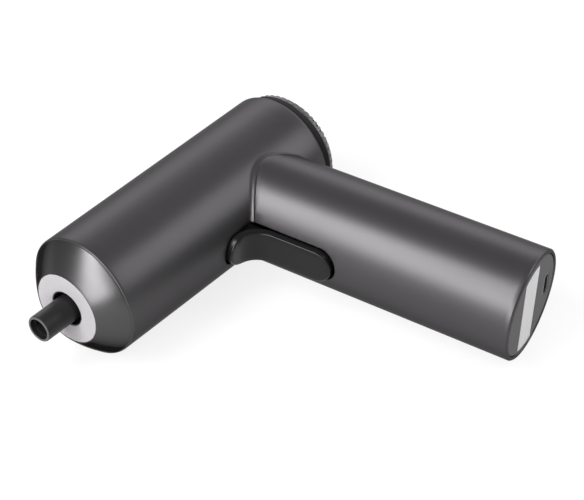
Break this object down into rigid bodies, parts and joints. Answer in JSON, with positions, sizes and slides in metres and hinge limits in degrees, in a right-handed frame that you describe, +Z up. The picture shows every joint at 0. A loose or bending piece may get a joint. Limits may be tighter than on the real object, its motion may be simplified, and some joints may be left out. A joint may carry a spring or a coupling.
{
  "type": "electric screwdriver",
  "caption": "Cordless electric screwdriver with a round barrel, a leaning round handle, a rocking trigger, a lit nose ring, a rear mode knob and a hexagon bit socket.",
  "frame": {"origin": "on the spindle axis, in the plane of the bit socket's mouth", "axes": "+X along the spindle towards the bit, +Y towards the end of the handle, +Z up with the tool lying on its side"},
  "size_m": [0.1371, 0.1378, 0.044],
  "materials": {
    "shell": "satin anodised dark gunmetal",
    "nose_metal": "satin turned metal",
    "diffuser": "frosted white",
    "black_steel": "blackened satin steel",
    "bright_steel": "bright steel",
    "dark_plastic": "satin black plastic",
    "frame_plastic": "dark moulded plastic",
    "gear_plastic": "natural white gear plastic",
    "gear_steel": "sintered steel",
    "brass": "machined brass",
    "magnet": "dark sintered magnet",
    "winding": "copper windings on laminations",
    "board_green": "green circuit board",
    "chip_black": "moulded black",
    "lamp": "lamp phosphor",
    "cell_wrap": "wrapped battery cell",
    "cap_grey": "satin grey plastic",
    "plate_pale": "pale blank plate",
    "port_metal": "nickel plated socket",
    "wire_red": "soft insulation",
    "cable_tan": "flat cable"
  },
  "bodies": {
    "tool": {"barrel_shell": "shell", "nose_cone": "nose_metal", "light_ring": "diffuser", "led_board": "board_green", "led_lamps": "lamp", "bearing_outer_race": "bright_steel", "gearbox_cover": "frame_plastic", "ring_gear_housing": "gear_plastic", "gearbox_screws": "bright_steel", "thrust_washer": "bright_steel", "motor_plate": "gear_steel", "motor_screws": "bright_steel", "motor_can": "bright_steel", "motor_end_bell": "dark_plastic", "motor_field_magnets": "magnet", "motor_bushes": "brass", "motor_cradle": "frame_plastic", "rear_plate": "dark_plastic", "selector_switch": "chip_black", "selector_board": "board_green", "selector_screws": "bright_steel", "handle_shell": "shell", "neck_collar": "frame_plastic", "trigger_pin": "bright_steel", "trigger_bracket": "frame_plastic", "switch_board": "board_green", "button_switches": "chip_black", "battery_cell": "cell_wrap", "battery_contacts": "brass", "battery_cradle": "frame_plastic", "control_board": "board_green", "board_parts": "chip_black", "charge_board": "board_green", "charge_socket": "port_metal", "base_cap": "cap_grey", "base_plate": "plate_pale", "motor_leads": "wire_red", "flat_cable": "cable_tan"},
    "spindle": {"spindle": "black_steel", "bit_magnet": "bright_steel", "spindle_clip": "bright_steel", "bearing_inner_race": "bright_steel", "output_carrier": "gear_steel", "output_pins": "bright_steel"},
    "ball_set": {"bearing_balls": "bright_steel", "bearing_cage": "brass"},
    "output_planet_1": {"output_planet_1": "gear_plastic"},
    "output_planet_2": {"output_planet_2": "gear_plastic"},
    "output_planet_3": {"output_planet_3": "gear_plastic"},
    "input_carrier": {"input_carrier": "gear_steel", "input_pins": "bright_steel"},
    "input_planet_1": {"input_planet_1": "gear_plastic"},
    "input_planet_2": {"input_planet_2": "gear_plastic"},
    "input_planet_3": {"input_planet_3": "gear_plastic"},
    "rotor": {"motor_shaft": "bright_steel", "motor_armature": "winding", "motor_pinion": "brass"},
    "mode_knob": {"mode_knob": "shell", "knob_stem": "bright_steel"},
    "trigger": {"trigger": "dark_plastic"}
  },
  "joints": [
    {"name": "rotor_spin", "type": "hinge", "parent": "tool", "child": "rotor", "pos_m": [-0.0676, 0, 0], "axis": [1, 0, 0], "continuous": true},
    {"name": "spindle_spin", "type": "hinge", "parent": "tool", "child": "spindle", "pos_m": [-0.0275, 0, 0], "axis": [1, 0, 0], "continuous": true},
    {"name": "ball_set_spin", "type": "hinge", "parent": "tool", "child": "ball_set", "pos_m": [-0.0275, 0, 0], "axis": [1, 0, 0], "continuous": true},
    {"name": "output_planet_1_spin", "type": "hinge", "parent": "spindle", "child": "output_planet_1", "pos_m": [-0.03775, 0, -0.0081], "axis": [1, 0, 0], "continuous": true},
    {"name": "output_planet_2_spin", "type": "hinge", "parent": "spindle", "child": "output_planet_2", "pos_m": [-0.03775, 0.00701, 0.00405], "axis": [1, 0, 0], "continuous": true},
    {"name": "output_planet_3_spin", "type": "hinge", "parent": "spindle", "child": "output_planet_3", "pos_m": [-0.03775, -0.00701, 0.00405], "axis": [1, 0, 0], "continuous": true},
    {"name": "input_carrier_spin", "type": "hinge", "parent": "tool", "child": "input_carrier", "pos_m": [-0.04275, 0, 0], "axis": [1, 0, 0], "continuous": true},
    {"name": "input_planet_1_spin", "type": "hinge", "parent": "input_carrier", "child": "input_planet_1", "pos_m": [-0.047, 0, -0.0081], "axis": [1, 0, 0], "continuous": true},
    {"name": "input_planet_2_spin", "type": "hinge", "parent": "input_carrier", "child": "input_planet_2", "pos_m": [-0.047, 0.00701, 0.00405], "axis": [1, 0, 0], "continuous": true},
    {"name": "input_planet_3_spin", "type": "hinge", "parent": "input_carrier", "child": "input_planet_3", "pos_m": [-0.047, -0.00701, 0.00405], "axis": [1, 0, 0], "continuous": true},
    {"name": "mode_knob_turn", "type": "hinge", "parent": "tool", "child": "mode_knob", "pos_m": [-0.12735, 0, 0], "axis": [1, 0, 0], "range_deg": [0, 90]},
    {"name": "trigger_rock", "type": "hinge", "parent": "tool", "child": "trigger", "pos_m": [-0.09012, 0.03259, 0], "axis": [0, 0, 1], "range_deg": [-3, 3], "stiffness_Nm_per_rad": 0.8}
  ],
  "couplings": [
    {"joint": "spindle_spin", "follows": "rotor_spin", "ratio": 0.027778},
    {"joint": "ball_set_spin", "follows": "rotor_spin", "ratio": 0.01092},
    {"joint": "output_planet_1_spin", "follows": "rotor_spin", "ratio": -0.069444},
    {"joint": "output_planet_2_spin", "follows": "rotor_spin", "ratio": -0.069444},
    {"joint": "output_planet_3_spin", "follows": "rotor_spin", "ratio": -0.069444},
    {"joint": "input_carrier_spin", "follows": "rotor_spin", "ratio": 0.16667},
    {"joint": "input_planet_1_spin", "follows": "rotor_spin", "ratio": -0.41667},
    {"joint": "input_planet_2_spin", "follows": "rotor_spin", "ratio": -0.41667},
    {"joint": "input_planet_3_spin", "follows": "rotor_spin", "ratio": -0.41667}
  ]
}
